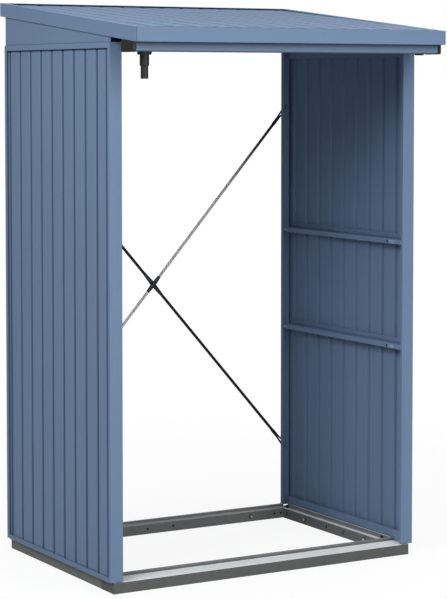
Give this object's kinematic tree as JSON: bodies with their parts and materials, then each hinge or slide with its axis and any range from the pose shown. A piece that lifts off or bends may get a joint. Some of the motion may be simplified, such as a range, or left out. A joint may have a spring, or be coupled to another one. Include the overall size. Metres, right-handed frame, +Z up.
{
  "type": "log store",
  "caption": "Open-fronted log store of folded sheet steel: ribbed side walls, lean-to roof with gutter, ring base and crossed wire ropes at the back.",
  "frame": {"origin": "middle of the overall box seen from above, at the level of the feet", "axes": "+X to the right seen from the open front, +Y to the back, +Z up"},
  "size_m": [1.224, 1.05, 1.9899],
  "materials": {
    "base_steel": "galvanised and grey coated, satin",
    "frame_steel": "blue-grey powder coat, satin",
    "panel_steel": "blue-grey powder coat, satin",
    "roof_steel": "blue-grey powder coat, satin",
    "trim_steel": "blue-grey powder coat, satin",
    "black_plastic": "moulded, fine grain",
    "wire_rope": "twisted strands, dull",
    "bright_steel": "zinc plated"
  },
  "bodies": {
    "root": {"base_front_sill": "base_steel", "base_left_rail": "base_steel", "base_rear_rail": "base_steel", "base_right_rail": "base_steel", "brace_clip": "black_plastic", "brace_falling_rope": "wire_rope", "brace_left_lower_bolt": "bright_steel", "brace_left_lower_eye": "wire_rope", "brace_left_upper_bolt": "bright_steel", "brace_left_upper_eye": "wire_rope", "brace_right_lower_bolt": "bright_steel", "brace_right_lower_eye": "wire_rope", "brace_right_upper_bolt": "bright_steel", "brace_right_upper_eye": "wire_rope", "brace_rising_rope": "wire_rope", "gutter": "trim_steel", "gutter_outlet": "black_plastic", "gutter_outlet_spout": "black_plastic", "gutter_plug": "black_plastic", "left_front_post": "frame_steel", "left_gable": "frame_steel", "left_gutter_cap": "black_plastic", "left_lower_inner_rail": "frame_steel", "left_rear_post": "frame_steel", "left_upper_inner_rail": "frame_steel", "left_verge_trim": "trim_steel", "left_wall_foot_rail": "frame_steel", "left_wall_panel": "panel_steel", "left_wall_top_rail": "frame_steel", "right_front_post": "frame_steel", "right_gable": "frame_steel", "right_gutter_cap": "black_plastic", "right_lower_inner_rail": "frame_steel", "right_rear_post": "frame_steel", "right_upper_inner_rail": "frame_steel", "right_verge_trim": "trim_steel", "right_wall_foot_rail": "frame_steel", "right_wall_panel": "panel_steel", "right_wall_top_rail": "frame_steel", "roof_front_beam": "roof_steel", "roof_front_fascia": "trim_steel", "roof_purlin": "roof_steel", "roof_rear_beam": "roof_steel", "roof_rear_trim": "trim_steel", "roof_sheet": "roof_steel"}
  },
  "joints": []
}
